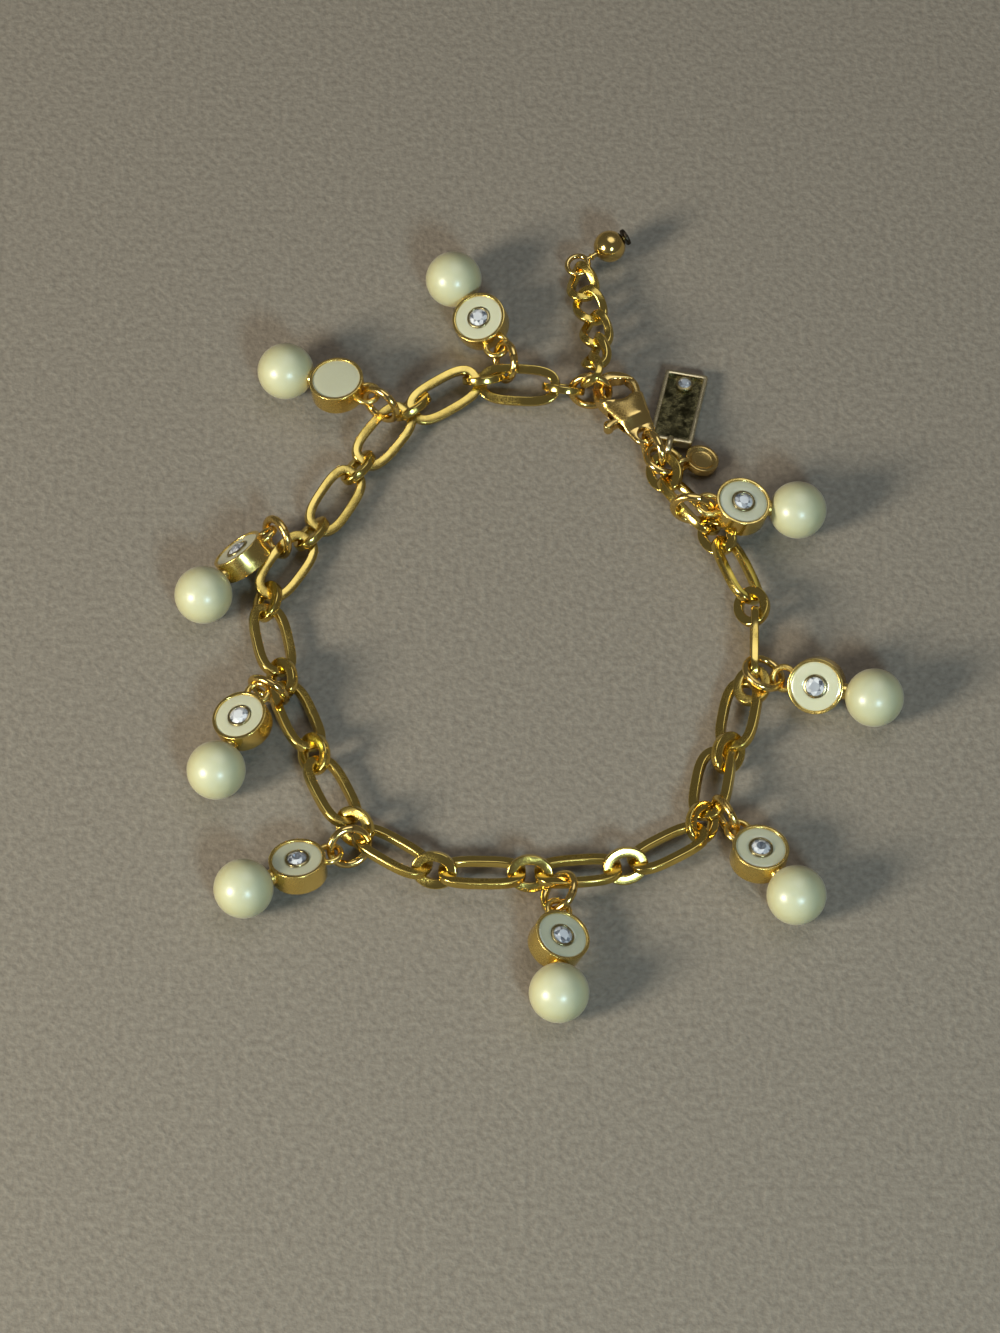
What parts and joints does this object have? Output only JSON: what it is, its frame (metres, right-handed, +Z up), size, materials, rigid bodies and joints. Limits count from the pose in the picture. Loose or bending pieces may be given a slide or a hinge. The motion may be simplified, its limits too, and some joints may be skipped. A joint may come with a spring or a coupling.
{
  "type": "charm bracelet",
  "caption": "Gold-coloured charm bracelet closed in a loop: oval links, enamelled drum charms with stones and pearls, a lobster clasp, an extender chain with a ball and a tray tag.",
  "frame": {"origin": "bottom centre of the bracelet's box as it lies on a surface", "axes": "+Z up off the surface, +Y away from the viewer of the picture, towards the extender chain"},
  "size_m": [0.0756, 0.0976, 0.0065],
  "materials": {
    "gold": "polished",
    "dark_gold": "polished, dark in the tray",
    "enamel": "glossy enamel",
    "crystal": "faceted clear stone",
    "pearl": "satin nacre"
  },
  "bodies": {
    "bracelet": {"link_chain": "gold", "end_ring": "gold", "clasp_jump_ring": "gold", "charm_1_drum": "gold", "charm_1_enamel": "enamel", "charm_1_crystal": "crystal", "charm_1_pearl": "pearl", "charm_1_jump_ring": "gold", "charm_2_drum": "gold", "charm_2_enamel": "enamel", "charm_2_crystal": "crystal", "charm_2_pearl": "pearl", "charm_2_jump_ring": "gold", "charm_3_drum": "gold", "charm_3_enamel": "enamel", "charm_3_crystal": "crystal", "charm_3_pearl": "pearl", "charm_3_jump_ring": "gold", "charm_4_drum": "gold", "charm_4_enamel": "enamel", "charm_4_crystal": "crystal", "charm_4_pearl": "pearl", "charm_4_jump_ring": "gold", "charm_5_drum": "gold", "charm_5_enamel": "enamel", "charm_5_crystal": "crystal", "charm_5_pearl": "pearl", "charm_5_jump_ring": "gold", "charm_6_drum": "gold", "charm_6_enamel": "enamel", "charm_6_crystal": "crystal", "charm_6_pearl": "pearl", "charm_6_jump_ring": "gold", "charm_7_drum": "gold", "charm_7_enamel": "enamel", "charm_7_crystal": "crystal", "charm_7_pearl": "pearl", "charm_7_jump_ring": "gold", "charm_8_drum": "gold", "charm_8_enamel": "enamel", "charm_8_crystal": "crystal", "charm_8_pearl": "pearl", "charm_8_jump_ring": "gold", "charm_9_drum": "gold", "charm_9_enamel": "enamel", "charm_9_crystal": "crystal", "charm_9_pearl": "pearl", "charm_9_jump_ring": "gold", "clasp_body": "gold", "extender_chain": "gold", "end_pin": "gold", "end_ball": "gold", "tag": "dark_gold", "tag_crystal": "crystal", "tag_ring": "gold", "small_disc_charm": "gold"},
    "lever": {"clasp_lever": "gold"}
  },
  "joints": [
    {"name": "lever_hinge", "type": "hinge", "parent": "bracelet", "child": "lever", "pos_m": [0.01036, 0.02473, 0.00241], "axis": [-0.0085, 0.0132, 0.9999], "range_deg": [0, 20], "stiffness_Nm_per_rad": 0.002}
  ]
}
